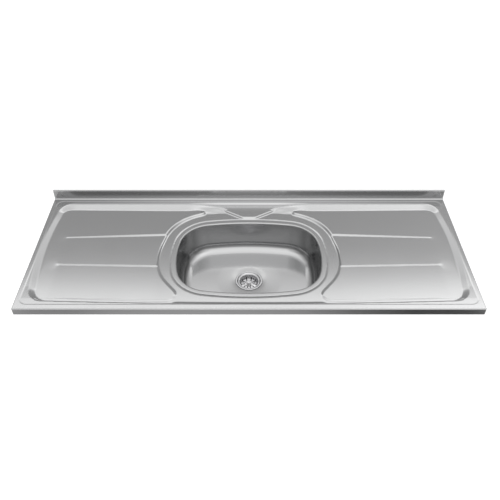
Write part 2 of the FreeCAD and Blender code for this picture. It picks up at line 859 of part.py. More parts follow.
def make_stopper_post():
    """Steel pin from under the stopper up into the knob."""
    top = knob_bottom + post_grip
    corners = [(0, post_bottom), (post_radius, post_bottom), (post_radius, top), (0, top)]
    pin = turned(corners, [0, post_radius / 3.0, 0, 0])
    collar = ring(0, post_radius * 1.8, stopper_top, collar_top)
    return pin.fuse(collar).removeSplitter()


def make_pull_knob():
    """Waisted knob, bored for the pin."""
    top = knob_bottom + knob_height
    corners = [(post_radius + thread_gap, knob_bottom), (knob_waist_radius, knob_bottom),
               (knob_waist_radius, knob_bottom + knob_height * 0.45),
               (knob_radius, knob_bottom + knob_height * 0.7), (knob_radius, top), (0, top),
               (0, knob_bottom + post_grip + thread_gap),
               (post_radius + thread_gap, knob_bottom + post_grip + thread_gap)]
    return turned(corners, [0, 0, 2.0, 1.2, 2.4, 0, 0, 0])


def make_stopper_seal():
    """Rubber plug: a disc with a lip that closes on the cup's floor round the holes."""
    bore = post_radius + thread_gap
    under = stopper_top - stopper_thickness
    corners = [(bore, under), (stopper_radius - stopper_lip_width, under),
               (stopper_radius - stopper_lip_width * 0.6, stopper_low),
               (stopper_radius, stopper_low), (stopper_radius - stopper_thickness * 0.3, stopper_top),
               (bore, stopper_top)]
    return turned(corners, [0, stopper_thickness * 0.4, 0, 0, stopper_thickness * 0.4, 0])


def make_post_clip():
    """Clip on the pin under the stopper."""
    top = stopper_top - stopper_thickness
    return ring(post_radius + thread_gap, clip_radius, top - clip_thickness, top)


# Under the drainers

def base_level(x):
    """Height of the gutter's floor at a distance x from the middle."""
    share = (x - inner_end_x) / (outer_end_x - inner_end_x)
    return surround_level + (outer_level - surround_level) * share


def channel_top(x):
    """Height of a channel's crown under the lowest place that it crosses."""
    return base_level(x - channel_web_width / 2.0) - sheet - part_gap


def make_channel(x):
    """Top-hat channel from the front to the back return flange."""
    low = sheet
    high = channel_top(x)
    crown = channel_web_width / 2.0
    root = crown + channel_lean
    foot = root + channel_foot_width
    outer = [(-foot, low), (-root + channel_sheet, low), (-crown + channel_sheet, high - channel_sheet),
             (crown - channel_sheet, high - channel_sheet), (root - channel_sheet, low), (foot, low),
             (foot, low + channel_sheet), (root, low + channel_sheet), (crown, high), (-crown, high),
             (-root, low + channel_sheet), (-foot, low + channel_sheet)]
    bend = channel_sheet * 0.6
    radii = [0, 0, bend, bend, 0, 0, 0, 0, bend, bend, 0, 0]
    half = top_depth / 2.0 - sheet - channel_end_gap
    face = Part.Face(upright(rounded_outline(outer, radii)))
    return face.extrude(Vector(0, 2.0 * half, 0)).translated(Vector(x, -half, 0))


def make_drainer_pads(hollow):
    """Pads between the channels' crowns and the underside of the right drainer."""
    pads = []
    for x in (inner_channel_x, outer_channel_x):
        for y in drainer_pad_places:
            half_x = drainer_pad_width / 2.0
            half_y = drainer_pad_length / 2.0
            block = box(x - half_x, y - half_y, channel_top(x), x + half_x, y + half_y, rim_level)
            pads.append(block.common(hollow))
    return Part.makeCompound(pads)


def make_bracket():
    """Angle on the right-hand return flange, its slotted tab inside the cabinet."""
    tab_outer = top_length / 2.0 - return_width - part_gap
    tab_inner = tab_outer - bracket_sheet
    leg_end = top_length / 2.0 - sheet - channel_end_gap
    bottom = -bracket_drop
    corners = [(tab_inner, bottom), (tab_outer, bottom), (tab_outer, sheet), (leg_end, sheet),
               (leg_end, sheet + bracket_sheet), (tab_inner, sheet + bracket_sheet)]
    radii = [0, 0, 0, 0, 0, bracket_bend_radius]
    face = Part.Face(upright(rounded_outline(corners, radii)))
    angle = face.extrude(Vector(0, bracket_width, 0))
    angle = angle.translated(Vector(0, bracket_y - bracket_width / 2.0, 0))
    half = bracket_slot_length / 2.0
    rise = bracket_slot_width / 2.0
    slot_z = bottom / 2.0 - sheet
    outline = [(bracket_y - half, slot_z - rise), (bracket_y + half, slot_z - rise),
               (bracket_y + half, slot_z + rise), (bracket_y - half, slot_z + rise)]
    slot = across(prism(outline, [rise * 0.98] * 4, tab_inner - overrun, tab_outer + overrun))
    return angle.cut(slot)


def make_earth_tag():
    """Lug welded on the back return flange, with a hole for the earth screw."""
    back_y = top_depth / 2.0 - sheet - channel_end_gap
    front_y = top_depth / 2.0 - return_width - tag_reach
    half = tag_width / 2.0
    corners = [(tag_x - half, front_y), (tag_x + half, front_y), (tag_x + half, back_y),
               (tag_x - half, back_y)]
    tag = prism(corners, [half * 0.95, half * 0.95, 0, 0], sheet, sheet + channel_sheet)
    hole = Part.makeCylinder(tag_hole_radius, 4.0 * sheet, Vector(tag_x, front_y + half, -sheet))
    return tag.cut(hole)


def front_copy(shape):
    return shape.mirror(Vector(0, 0, 0), Vector(0, 1, 0))


def make_parts():
    hollow = space_under_deck()
    front_pad, rear_pad = make_wall_pads()
    drainer_pads = make_drainer_pads(hollow)
    bracket = make_bracket()
    return {
        "sink_top": make_sink_top(hollow),
        "bowl": make_bowl(),
        "bowl_front_pad": front_pad,
        "bowl_rear_pad": rear_pad,
        "bowl_left_pad": make_floor_pad(-1.0),
        "bowl_right_pad": make_floor_pad(1.0),
        "left_outer_stiffener": mirrored(make_channel(outer_channel_x)),
        "left_inner_stiffener": mirrored(make_channel(inner_channel_x)),
        "right_inner_stiffener": make_channel(inner_channel_x),
        "right_outer_stiffener": make_channel(outer_channel_x),
        "left_drainer_pads": mirrored(drainer_pads),
        "right_drainer_pads": drainer_pads,
        "left_front_bracket": front_copy(mirrored(bracket)),
        "left_rear_bracket": mirrored(bracket),
        "right_front_bracket": front_copy(bracket),
        "right_rear_bracket": bracket,
        "earth_tag": make_earth_tag(),
        "waste_flange": make_waste_flange(),
        "cup_plate": make_cup_plate(),
        "flange_seal": make_flange_seal(),
        "body_seal": make_body_seal(),
        "waste_body": make_waste_body(),
        "body_insert": make_body_insert(),
        "clamp_screw": make_clamp_screw(),
        "outlet_seal": make_outlet_seal(),
        "outlet_nut": make_outlet_nut(),
        "outlet_tail": make_outlet_tail(),
        "strainer_basket": make_strainer_basket(),
        "hub_bush": make_hub_bush(),
        "stopper_post": make_stopper_post(),
        "pull_knob": make_pull_knob(),
        "stopper_seal": make_stopper_seal(),
        "post_clip": make_post_clip(),
    }


os.makedirs("parts", exist_ok=True)
for name, shape in make_parts().items():
    shape.exportStep("parts/" + name + ".step")
    print(name, len(shape.Solids), shape.isValid(), round(shape.Volume))
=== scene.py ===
import math
import bmesh
import bpy
import numpy as np
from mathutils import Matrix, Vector, kdtree


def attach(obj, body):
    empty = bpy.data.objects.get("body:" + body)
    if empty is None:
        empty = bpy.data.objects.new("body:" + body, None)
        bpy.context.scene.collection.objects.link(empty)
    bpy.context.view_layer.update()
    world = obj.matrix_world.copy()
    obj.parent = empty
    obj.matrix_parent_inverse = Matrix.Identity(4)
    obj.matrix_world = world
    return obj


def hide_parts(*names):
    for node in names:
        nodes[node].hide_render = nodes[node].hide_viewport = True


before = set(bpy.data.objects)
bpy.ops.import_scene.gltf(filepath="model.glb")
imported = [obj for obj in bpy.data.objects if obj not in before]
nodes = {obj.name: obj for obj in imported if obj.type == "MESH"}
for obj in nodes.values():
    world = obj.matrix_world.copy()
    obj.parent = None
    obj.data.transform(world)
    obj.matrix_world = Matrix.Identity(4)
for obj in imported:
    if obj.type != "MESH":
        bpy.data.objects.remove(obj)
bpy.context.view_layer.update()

scene = bpy.context.scene
scene.view_settings.view_transform = "Standard"


# The camera stands in front of the sink, 1.3 m over the cabinet's top, and looks down on the
# bowl at a little under 45 degrees, as in the photograph.

camera_data = bpy.data.cameras.new("photo_camera")
camera_data.sensor_width = 36.0
camera_data.lens = 42.03
camera_data.shift_x = 0.00215
camera = bpy.data.objects.new("photo_camera", camera_data)
camera.location = (0.0, -1.4165, 1.3108)
camera.rotation_euler = (math.radians(47.53), 0.0, 0.0)
scene.collection.objects.link(camera)
scene.camera = camera


# The studio floor lies as far below the sink as a kitchen's. It is white paper with a soft grey
# patch of painted shade in front of the sink, darkest to the right, which the apron mirrors as
# its shade. The floor looks the same to the camera and in mirrors.

floor_level = -0.87
floor_radius = 30.0
paper_white = (0.88, 0.88, 0.88, 1.0)
paper_glow = 0.6
# The patch of painted shade on the floor: its reach behind, in front and to the sides, and its
# grey levels from left to right
patch_back = (-1.05, -0.55)
patch_front = (-1.4, -2.1)
patch_side = (1.05, 1.7)
patch_half = 1.0
painted_shade_greys = ((-0.865, 0.24), (-0.67, 0.3), (-0.43, 0.325), (-0.24, 0.335), (0.0, 0.32),
               (0.247, 0.27), (0.537, 0.13), (0.82, 0.045))


def node_material(name):
    """A material with its Principled shader and its tree of nodes."""
    material = bpy.data.materials.new(name)
    material.use_nodes = True
    tree = material.node_tree
    return material, tree.nodes["Principled BSDF"], tree


def linked(tree, kind, inputs=None, **settings):
    """A node of one kind, with its settings, and its inputs linked or set by name."""
    node = tree.nodes.new(kind)
    for key, value in settings.items():
        setattr(node, key, value)
    for key, value in (inputs or {}).items():
        if isinstance(value, bpy.types.NodeSocket):
            tree.links.new(value, node.inputs[key])
        else:
            node.inputs[key].default_value = value
    return node


def maths(tree, operation, *values, **settings):
    """The result of one sum, product or comparison of numbers and other results."""
    node = linked(tree, "ShaderNodeMath", dict(enumerate(values)), operation=operation,
                  **settings)
    return node.outputs["Value"]


def ranged(tree, value, reach=(0.0, 1.0), levels=(0.0, 1.0), **settings):
    """A level that goes from one to another as a value crosses a reach."""
    node = linked(tree, "ShaderNodeMapRange",
                  {"Value": value, "From Min": reach[0], "From Max": reach[1],
                   "To Min": levels[0], "To Max": levels[1]}, **settings)
    return node.outputs["Result"]


def mixed(tree, share, first, second):
    """A colour that turns from one into another as a share goes from 0 to 1."""
    node = linked(tree, "ShaderNodeMix", {"Factor": share, "A": first, "B": second},
                  data_type="RGBA")
    return node.outputs["Result"]


def grey_ramp(tree, share, stops):
    """A colour ramp with grey levels at places from 0 to 1."""
    node = linked(tree, "ShaderNodeValToRGB", {"Fac": share})
    elements = node.color_ramp.elements
    while len(elements) < len(stops):
        elements.new(0.5)
    for element, (place, level) in zip(elements, stops):
        element.position = place
        element.color = (level, level, level, 1.0)
    return node.outputs["Color"]


bpy.ops.mesh.primitive_circle_add(vertices=96, radius=floor_radius, fill_type="NGON",
                                  location=(0, 0, floor_level))
floor = bpy.context.object
floor.name = "studio_floor"
floor_finish, floor_shader, floor_tree = node_material("studio_paper")
floor_shader.inputs["Roughness"].default_value = 0.9
floor_shader.inputs["Specular IOR Level"].default_value = 0.1
floor_place = linked(floor_tree, "ShaderNodeTexCoord").outputs["Object"]
floor_axes = linked(floor_tree, "ShaderNodeSeparateXYZ", {"Vector": floor_place}).outputs
floor_aside = maths(floor_tree, "ABSOLUTE", floor_axes["X"])
past_back, past_front, past_side = [
    ranged(floor_tree, place, reach, interpolation_type="SMOOTHSTEP")
    for place, reach in ((floor_axes["Y"], patch_back), (floor_axes["Y"], patch_front),
                         (floor_aside, patch_side))]
past_ends = maths(floor_tree, "MAXIMUM", past_back, past_front)
white_share = maths(floor_tree, "MAXIMUM", past_ends, past_side)
across_patch = ranged(floor_tree, floor_axes["X"], (-patch_half, patch_half))
# Painted shade: the patch's grey levels across the floor, darker towards the right, for the apron
# to mirror
painted_shade = grey_ramp(floor_tree, across_patch,
                 [((x + patch_half) / (2.0 * patch_half), level) for x, level in painted_shade_greys])
tone = mixed(floor_tree, white_share, painted_shade, paper_white)
floor_tree.links.new(tone, floor_shader.inputs["Base Color"])
floor_tree.links.new(tone, floor_shader.inputs["Emission Color"])
rays = linked(floor_tree, "ShaderNodeLightPath").outputs
seen_or_mirrored = maths(floor_tree, "MAXIMUM", rays["Is Camera Ray"], rays["Is Glossy Ray"])
seen_at_all = maths(floor_tree, "MAXIMUM", seen_or_mirrored, rays["Is Transmission Ray"])
floor_tree.links.new(maths(floor_tree, "MULTIPLY", seen_at_all, paper_glow),
                     floor_shader.inputs["Emission Strength"])
floor.data.materials.append(floor_finish)


# The studio is a soft grey tent with a white skirt round its foot. Its far side is dim up to
# half way, where the long lit panel starts that the drainers mirror; its two ends are darker.

tent_levels = ((0, 0.15), (25, 0.18), (36, 0.205), (44.5, 0.21), (46, 0.42), (47.5, 0.74),
               (49, 0.84), (51.5, 0.47), (57, 0.45), (68, 0.46), (82, 0.55), (95, 0.6),
               (110, 0.62), (135, 0.6), (144, 0.42), (152, 0.2), (180, 0.15))
tent_brightness = 2.0
end_reach, end_share = (0.42, 0.85), 0.22
right_reach, right_lift = (0.05, 0.35), 1.2
corner_reach, corner_share = (0.06, 0.19), 0.6
skirt_reach, skirt_white = (0.27, 0.12), 0.96

world = bpy.data.worlds.new("studio_room")
scene.world = world
world.use_nodes = True
room = world.node_tree
direction = linked(room, "ShaderNodeTexCoord").outputs["Generated"]
heading = linked(room, "ShaderNodeSeparateXYZ", {"Vector": direction}).outputs
turn_over = maths(room, "ARCTAN2", heading["Z"], heading["Y"])
tent = grey_ramp(room, maths(room, "DIVIDE", turn_over, math.pi),
                 [(degrees / 180.0, level) for degrees, level in tent_levels])
room_aside = maths(room, "ABSOLUTE", heading["X"])
end_light = ranged(room, room_aside, end_reach, (tent_brightness, end_share * tent_brightness))
right_light = ranged(room, heading["X"], right_reach, (1.0, right_lift))
toward_camera = maths(room, "MULTIPLY", heading["Y"], -1.0, use_clamp=True)
near_corner = maths(room, "MULTIPLY", room_aside, toward_camera)
corner_light = ranged(room, near_corner, corner_reach, (1.0, corner_share))
side_light = maths(room, "MULTIPLY", end_light, right_light)
tent_light = maths(room, "MULTIPLY", tent, maths(room, "MULTIPLY", side_light, corner_light))
skirt_light = ranged(room, heading["Z"], skirt_reach, (0.0, skirt_white),
                     interpolation_type="SMOOTHSTEP")
room_shader = room.nodes["Background"]
room_shader.inputs["Color"].default_value = (1.0, 1.0, 1.0, 1.0)
room.links.new(maths(room, "MAXIMUM", tent_light, skirt_light), room_shader.inputs["Strength"])


# The sink's stainless sheet has a satin face: the mill rolls a fine straight grain into it along
# its length, and handling leaves a faint cloud on it.

def grain_group(name, stretch):
    """Node group: a mask of streaks along X and a mask of soft cloud, each from 0 to 1."""
    group = bpy.data.node_groups.new(name, "ShaderNodeTree")
    group.interface.new_socket("Scale", in_out="INPUT", socket_type="NodeSocketFloat")
    group.interface.new_socket("Streaks", in_out="OUTPUT", socket_type="NodeSocketFloat")
    group.interface.new_socket("Cloud", in_out="OUTPUT", socket_type="NodeSocketFloat")
    inputs = group.nodes.new("NodeGroupInput")
    outputs = group.nodes.new("NodeGroupOutput")
    place = linked(group, "ShaderNodeTexCoord").outputs["Object"]
    drawn = linked(group, "ShaderNodeMapping", {"Vector": place, "Scale": stretch})
    streaks = linked(group, "ShaderNodeTexNoise",
                     {"Vector": drawn.outputs["Vector"], "Scale": inputs.outputs["Scale"],
                      "Detail": 3.0, "Roughness": 0.6})
    cloud = linked(group, "ShaderNodeTexNoise",
                   {"Vector": place, "Scale": 9.0, "Detail": 4.0, "Roughness": 0.55})
    group.links.new(streaks.outputs["Fac"], outputs.inputs["Streaks"])
    group.links.new(cloud.outputs["Fac"], outputs.inputs["Cloud"])
    return group


brushed_grain = grain_group("brushed_grain", stretch=(1.0, 40.0, 40.0))
streak_tone = 0.94
streak_height = 0.0001


def steel_finish(name, colour, roughness, grain_scale):
    """Stainless sheet: tone and bump follow the grain, and roughness the cloud."""
    material, shader, tree = node_material(name)
    grain = linked(tree, "ShaderNodeGroup")
    grain.node_tree = brushed_grain
    grain.inputs["Scale"].default_value = grain_scale
    dark = tuple(streak_tone * c for c in colour)
    tone = mixed(tree, grain.outputs["Streaks"], (*dark, 1.0), (*colour, 1.0))
    tree.links.new(tone, shader.inputs["Base Color"])
    tree.links.new(ranged(tree, grain.outputs["Cloud"], levels=roughness),
                   shader.inputs["Roughness"])
    bump = linked(tree, "ShaderNodeBump", {"Height": grain.outputs["Streaks"],
                                           "Strength": 0.025, "Distance": streak_height})
    tree.links.new(bump.outputs["Normal"], shader.inputs["Normal"])
    shader.inputs["Metallic"].default_value = 1.0
    return material


satin_steel = steel_finish("satin_steel", (0.62, 0.622, 0.625), roughness=(0.13, 0.16),
                           grain_scale=60.0)


# The pressed top is one stainless sheet. The press draws the recess, two drainers with two
# steps each, the sunk surround of the bowl, the front gutter and the raised tap ledge in it.
# Its sizes are in millimetres, as heights over the cabinet and places seen from above.

mm = 0.001
sheet = 0.8
top_half = (700.0, 269.0)
rim_level = 25.0


def rounded_loop(corners, radii, pitch):
    """Points and outward normals along a closed outline with rounded corners."""
    corners = [np.array(c, float) for c in corners]
    count = len(corners)
    tangents = []
    for index in range(count):
        before = corners[index] - corners[index - 1]
        after = corners[(index + 1) % count] - corners[index]
        before /= np.linalg.norm(before)
        after /= np.linalg.norm(after)
        turn = math.atan2(before[0] * after[1] - before[1] * after[0], before @ after)
        tangents.append((before, after, turn, radii[index] * math.tan(abs(turn) / 2.0)))
    points, normals = [], []
    for index in range(count):
        before, after, turn, trim = tangents[index]
        first = corners[index] - before * trim
        side = math.copysign(1.0, turn)
        centre = first + np.array((-before[1], before[0])) * radii[index] * side
        steps = max(2, int(radii[index] * abs(turn) / pitch))
        start = math.atan2(*(first - centre)[::-1])
        for step in range(steps + 1):
            angle = start + turn * step / steps
            ray = np.array((math.cos(angle), math.sin(angle)))
            points.append(centre + ray * radii[index])
            normals.append(ray * side)
        last = corners[index] + after * trim
        onward, _, _, next_trim = tangents[(index + 1) % count]
        following = corners[(index + 1) % count] - onward * next_trim
        length = np.linalg.norm(following - last)
        outward = np.array((after[1], -after[0]))
        for step in range(1, int(length / pitch)):
            points.append(last + (following - last) * step * pitch / length)
            normals.append(outward)
    return np.array(points), np.array(normals)


def mirrored(half_outline):
    """The right half of an outline, from its left half."""
    return [(-x, y) for x, y in reversed(half_outline)]


recess_left = [(-664.0, 239.5), (-693.0, 2.75), (-664.0, -234.0)]
recess_radii = [60.0, 1155.7, 60.0]
recess_edge = rounded_loop(recess_left + [(0.0, -256.0)] + mirrored(recess_left),
                           recess_radii + [17034.0] + recess_radii, pitch=1.0)
sunk_left = [(-155.0, 508.5), (-155.0, 186.0), (-262.0, 142.0), (-296.0, -9.0),
             (-294.0, -108.0), (-203.0, -222.0), (-700.0, -222.0), (-700.0, -503.0)]
sunk_radii = [60.0, 14.0, 165.0, 300.0, 160.0, 22.0, 60.0, 60.0]
sunk_edge = rounded_loop(sunk_left + mirrored(sunk_left), sunk_radii + sunk_radii[::-1],
                         pitch=0.7)
ledge_edge = rounded_loop([(-22.0, 165.0), (22.0, 165.0), (226.6, 290.0), (-226.6, 290.0)],
                          [18.0] * 4, pitch=0.7)
line_edge = rounded_loop([(-686.0, -250.0), (686.0, -250.0), (686.0, 248.0), (-686.0, 248.0)],
                         [25.0] * 4, pitch=1.0)

# The bowl's outline: wide arcs at its ends and along its sides, and a smaller one between them
bowl_y = -26.0
bowl_half_width = 165.0
oval_end_x, oval_end_radius = -115.0, 350.0
oval_side_y, oval_side_radius = -785.0, 950.0
oval_corner_radius = 107.0


def oval_loop(grow, half_count):
    """Points and outward normals of the bowl's outline moved out by grow."""
    reach_side = oval_side_radius - oval_corner_radius
    reach_end = oval_end_radius - oval_corner_radius
    spacing = math.hypot(oval_end_x, oval_side_y)
    along = (reach_side ** 2 - reach_end ** 2 + spacing ** 2) / (2.0 * spacing)
    aside = math.sqrt(reach_side ** 2 - along ** 2)
    corner = (oval_end_x * along / spacing - oval_side_y * aside / spacing,
              oval_side_y - oval_side_y * along / spacing - oval_end_x * aside / spacing)
    end_turn = math.atan2(corner[1], corner[0] - oval_end_x)
    side_turn = math.atan2(corner[1] - oval_side_y, corner[0])
    arcs = (((oval_end_x, 0.0), oval_end_radius, 0.0, end_turn, 0.3),
            (corner, oval_corner_radius, end_turn, side_turn, 0.4),
            ((0.0, oval_side_y), oval_side_radius, side_turn, math.pi / 2, 0.3))
    quarter = []
    for centre, radius, start, stop, share in arcs:
        steps = int(half_count / 2 * share)
        for step in range(steps):
            angle = start + (stop - start) * step / steps
            ray = (math.cos(angle), math.sin(angle))
            quarter.append((centre[0] + ray[0] * (radius + grow),
                            centre[1] + ray[1] * (radius + grow), *ray))
    top = (0.0, bowl_half_width + grow, 0.0, 1.0)
    half = quarter + [top] + [(-x, y, -nx, ny) for x, y, nx, ny in quarter[:0:-1]]
    loop = np.array(half + [(-x, -y, -nx, -ny) for x, y, nx, ny in half])
    loop[:, 1] += bowl_y
    return loop[:, :2], loop[:, 2:]


seat_grow = 17.5
seat_edge = oval_loop(seat_grow, half_count=900)


def distance_to(loop, plan):
    """Signed distance from plan points to an outline, outside positive, and its normals."""
    points, normals = loop
    tree = kdtree.KDTree(len(points))
    for index, point in enumerate(points):
        tree.insert((point[0], point[1], 0.0), index)
    tree.balance()
    nearest = np.array([tree.find((x, y, 0.0))[1] for x, y in plan])
    outward = normals[nearest]
    return ((plan - points[nearest]) * outward).sum(1), outward


def lower_of(first, second, blend):
    """The lower of two heights, rounded where they meet."""
    share = np.clip(0.5 + 0.5 * (second - first) / blend, 0.0, 1.0)
    return second + (first - second) * share - blend * share * (1.0 - share)


def upper_of(first, second, blend):
    """The upper of two heights, rounded where they meet."""
    return -lower_of(-first, -second, blend)


def smooth_share(value, start, stop):
    """0 before a start, 1 after a stop, and a smooth way between them."""
    share = np.clip((value - start) / (stop - start), 0.0, 1.0)
    return share * share * (3.0 - 2.0 * share)


# The walls of the recess start here, and run this far out for each millimetre up
recess_level = 24.4
end_run, back_run, middle_run = 4.4, 8.45, 1.5
front_places, front_runs = (220.0, 232.0), (1.25, 0.75)
middle_reach = (90.0, 230.0)
table_level, table_rise = 18.6, 2.0
table_start, table_depth = 190.0, 47.0


def table_height(y):
    """The flat of the tap ledge, which rises a little towards the back."""
    return table_level + table_rise * np.clip((y - table_start) / table_depth, 0.0, 1.0) ** 2


def recess_walls(plan):
    """The walls of the recess: short at the front, and long soft slopes at the ends and back.
    The middle of the back has a short steep edge with the ledge as its foot."""
    far, y = np.abs(plan[:, 0]), plan[:, 1]
    gap, outward = distance_to(recess_edge, plan)
    along_end = outward[:, 0] ** 2
    front = outward[:, 1] < 0.0
    front_run = np.interp(far, front_places, front_runs)
    run = end_run * along_end + np.where(front, front_run, back_run) * (1.0 - along_end)
    plain = recess_level + gap / run
    middle = upper_of(table_height(y), recess_level + gap / middle_run, blend=1.2)
    share = smooth_share(far, *middle_reach)
    return np.where(front, plain, middle * (1.0 - share) + plain * share)


# Each drainer's steps: the middle line and width at the bowl, how much these change along the
# drainer, and the drop. A step fades and spreads out past the drainer's outer end.
drainer_start, drainer_end = 285.0, 650.0
drainer_levels = (19.5, 20.0)
drainer_steps = ((71.0, -15.5, 7.0, -2.5, 2.5), (-79.1, 5.2, 4.5, 0.0, 1.5))
step_length = 328.0
fade_start, spread_stop, fade_stop = 608.0, 618.0, 655.0
spread_width, spread_drop = 60.0, 0.45


def drainer_height(far, y, wall):
    """The drainers' flats, parted by their steps, up to the walls of the recess."""
    outward = np.clip((far - drainer_start) / step_length, 0.0, 1.0)
    spread = np.interp(far, (fade_start, spread_stop), (0.0, 1.0))
    flats = np.interp(far, (drainer_start, drainer_end), drainer_levels)
    for middle, shift, width, widening, drop in drainer_steps:
        middle = middle + shift * outward
        width = width + widening * outward
        width = width + (spread_width - width) * spread
        drop = np.interp(far, (drainer_start, fade_start, fade_stop), (drop, spread_drop, 0.0))
        flats = flats - drop * smooth_share(middle - y, -width / 2.0, width / 2.0)
    return upper_of(flats, wall, blend=0.5)


surround_level = 13.0
sunk_edge_level, sunk_run = 17.0, 1.1
slope_start, slope_run = 196.0, 2.8
beside_slope, behind_bowl = (100.0, 190.0), (188.0, 200.0)


def surround_height(plan, wall, drainers):
    """The drainers with the bowl's sunk surround, its gutters and the slope behind it."""
    far, y = np.abs(plan[:, 0]), plan[:, 1]
    sunk_gap, _ = distance_to(sunk_edge, plan)
    gutter_rise = drainer_levels[1] - surround_level
    gutter = surround_level + (np.maximum(far - drainer_start, 0.0) * gutter_rise
                               / (drainer_end - drainer_start))
    sunk = upper_of(gutter, sunk_edge_level + sunk_gap / sunk_run, blend=1.0)
    sunk = upper_of(sunk, np.where(y < 0.0, wall, 0.0), blend=1.4)
    before_slope = lower_of(drainers, sunk, blend=0.8)
    slope = lower_of(surround_level + (y - slope_start) / slope_run, wall, blend=1.5)
    slope = upper_of(gutter, slope, blend=2.4)
    beside = smooth_share(far, *beside_slope)
    on_slope = drainers * beside + slope * (1.0 - beside)
    behind = smooth_share(y, *behind_bowl)
    return before_slope * (1.0 - behind) + on_slope * behind


# The ledge's arms have a groove beside their ends, the seat's edge dips a little, and a fine line
# runs round the rim, shallower in front
arm_start, arm_stop = (200.0, 206.0), (212.0, 217.0)
arm_groove, arm_groove_width = 1.2, 3.5
ledge_foot, ledge_blends = (196.0, 206.0), (0.8, 0.05)
lip_drop, lip_width = 0.85, 5.0
line_places, line_depths = (-225.0, -175.0), (0.15, 0.6)
line_run, line_blend = 2.0, 0.15


def pressed_height(plan):
    """Height of the pressed sheet at plan points."""
    far, y = np.abs(plan[:, 0]), plan[:, 1]
    wall = recess_walls(plan)
    pressed = surround_height(plan, wall, drainer_height(far, y, wall))
    ledge_gap, _ = distance_to(ledge_edge, plan)
    table = table_height(y)
    ledge = lower_of(table, table - ledge_gap, blend=1.0)
    pressed = upper_of(pressed, ledge, blend=np.interp(y, ledge_foot, ledge_blends))
    arm_end = smooth_share(y, *arm_start) * (1.0 - smooth_share(y, *arm_stop))
    pressed = pressed - arm_groove * arm_end * np.exp(-(ledge_gap / arm_groove_width) ** 2)
    seat_gap, _ = distance_to(seat_edge, plan)
    pressed = pressed - lip_drop * np.clip(1.0 - seat_gap / lip_width, 0.0, 1.0) ** 1.5
    line_gap, _ = distance_to(line_edge, plan)
    line_depth = np.interp(y, line_places, line_depths)
    line = upper_of(rim_level - line_depth, rim_level + line_gap / line_run, blend=line_blend)
    rim = lower_of(np.full_like(far, rim_level), line, blend=line_blend)
    return lower_of(rim, pressed, blend=0.5)


def grid_lines(start, stretches):
    """Grid line places from a start through (end, spacing) stretches."""
    places = [start]
    for end, spacing in stretches:
        begin = places[-1]
        steps = max(1, round(abs(end - begin) / spacing))
        places += [begin + (end - begin) * (step + 1) / steps for step in range(steps)]
    return np.array(places)


deck_front, deck_back = -266.0, 256.0
deck_rows = grid_lines(deck_front, [(-253.0, 2.6), (-247.0, 1.0), (-216.0, 1.6), (-90.0, 2.6),
                                    (-66.0, 1.4), (48.0, 2.6), (80.0, 1.5), (158.0, 2.6),
                                    (224.0, 1.7), (244.0, 2.2), (251.0, 1.0), (deck_back, 1.7)])


def pressed_grid(columns):
    """A grid of sheet on the given columns, pressed to height; returns it and its plan."""
    bm = bmesh.new()
    bmesh.ops.create_grid(bm, x_segments=len(columns) - 1, y_segments=len(deck_rows) - 1,
                          size=1.0)
    verts = list(bm.verts)
    flat = np.array([(v.co.x, v.co.y) for v in verts])
    across = np.rint((flat[:, 0] + 1.0) / 2.0 * (len(columns) - 1)).astype(int)
    along = np.rint((flat[:, 1] + 1.0) / 2.0 * (len(deck_rows) - 1)).astype(int)
    plan = np.stack((columns[across], deck_rows[along]), 1)
    for vert, (x, y), z in zip(verts, plan, pressed_height(plan)):
        vert.co = (x * mm, y * mm, z * mm)
    return bm, plan


# At the front the sheet is folded down as the apron. At the back it turns up through a cove as
# the upstand, and over and down again behind it.
rim_radius = 3.0
apron_run = 20.8
cove_radius = 5.0
upstand_run = 29.0
upstand_radius = 2.5
upstand_flat = 3.0
back_run_down = 57.8
same_place = 0.01


def bend(radius, start, stop, count=5):
    """Steps out and up along a bend that turns from one heading to another, in degrees."""
    turn = math.radians(stop - start) / count
    chord = 2.0 * radius * abs(math.sin(turn / 2.0))
    headings = [math.radians(start) + turn * (step + 0.5) for step in range(count)]
    return [(chord * math.cos(h), chord * math.sin(h)) for h in headings]


def fold(bm, edges, outward, steps):
    """Draws a row of edges on through steps out and up, in millimetres."""
    for out, up in steps:
        made = bmesh.ops.extrude_edge_only(bm, edges=edges)["geom"]
        fresh = {item for item in made if isinstance(item, bmesh.types.BMVert)}
        edges = [item for item in made if isinstance(item, bmesh.types.BMEdge)
                 and item.verts[0] in fresh and item.verts[1] in fresh]
        move = Vector(outward) * out * mm + Vector((0.0, 0.0, up * mm))
        bmesh.ops.translate(bm, verts=list(fresh), vec=move)


front_fold = bend(rim_radius, 0.0, -90.0) + [(0.0, -apron_run)]
back_fold = (bend(cove_radius, 0.0, 90.0) + [(0.0, upstand_run)]
             + bend(upstand_radius, 90.0, 0.0) + [(upstand_flat, 0.0)]
             + bend(upstand_radius, 0.0, -90.0) + [(0.0, -back_run_down)])


def fold_front_and_back(bm):
    """Folds the sheet's front and back edges."""
    front_line, back_line = (deck_front + same_place) * mm, (deck_back - same_place) * mm
    front = [e for e in bm.edges if all(v.co.y < front_line for v in e.verts)]
    back = [e for e in bm.edges if all(v.co.y > back_line for v in e.verts)]
    fold(bm, front, (0.0, -1.0, 0.0), front_fold)
    fold(bm, back, (0.0, 1.0, 0.0), back_fold)


def next_row(bm, row, places, closed):
    """Extrudes a row of vertices and puts the new row at its places."""
    pairs = zip(row, row[1:] + row[:1]) if closed else zip(row, row[1:])
    edges = [bm.edges.get(pair) for pair in pairs]
    made = bmesh.ops.extrude_edge_only(bm, edges=edges)["geom"]
    fresh = {item for item in made if isinstance(item, bmesh.types.BMVert)}
    following = []
    for vert, place in zip(row, places):
        twin = next(edge.other_vert(vert) for edge in vert.link_edges
                    if edge.other_vert(vert) in fresh)
        twin.co = place
        following.append(twin)
    return following


crease_angle = math.radians(50.0)


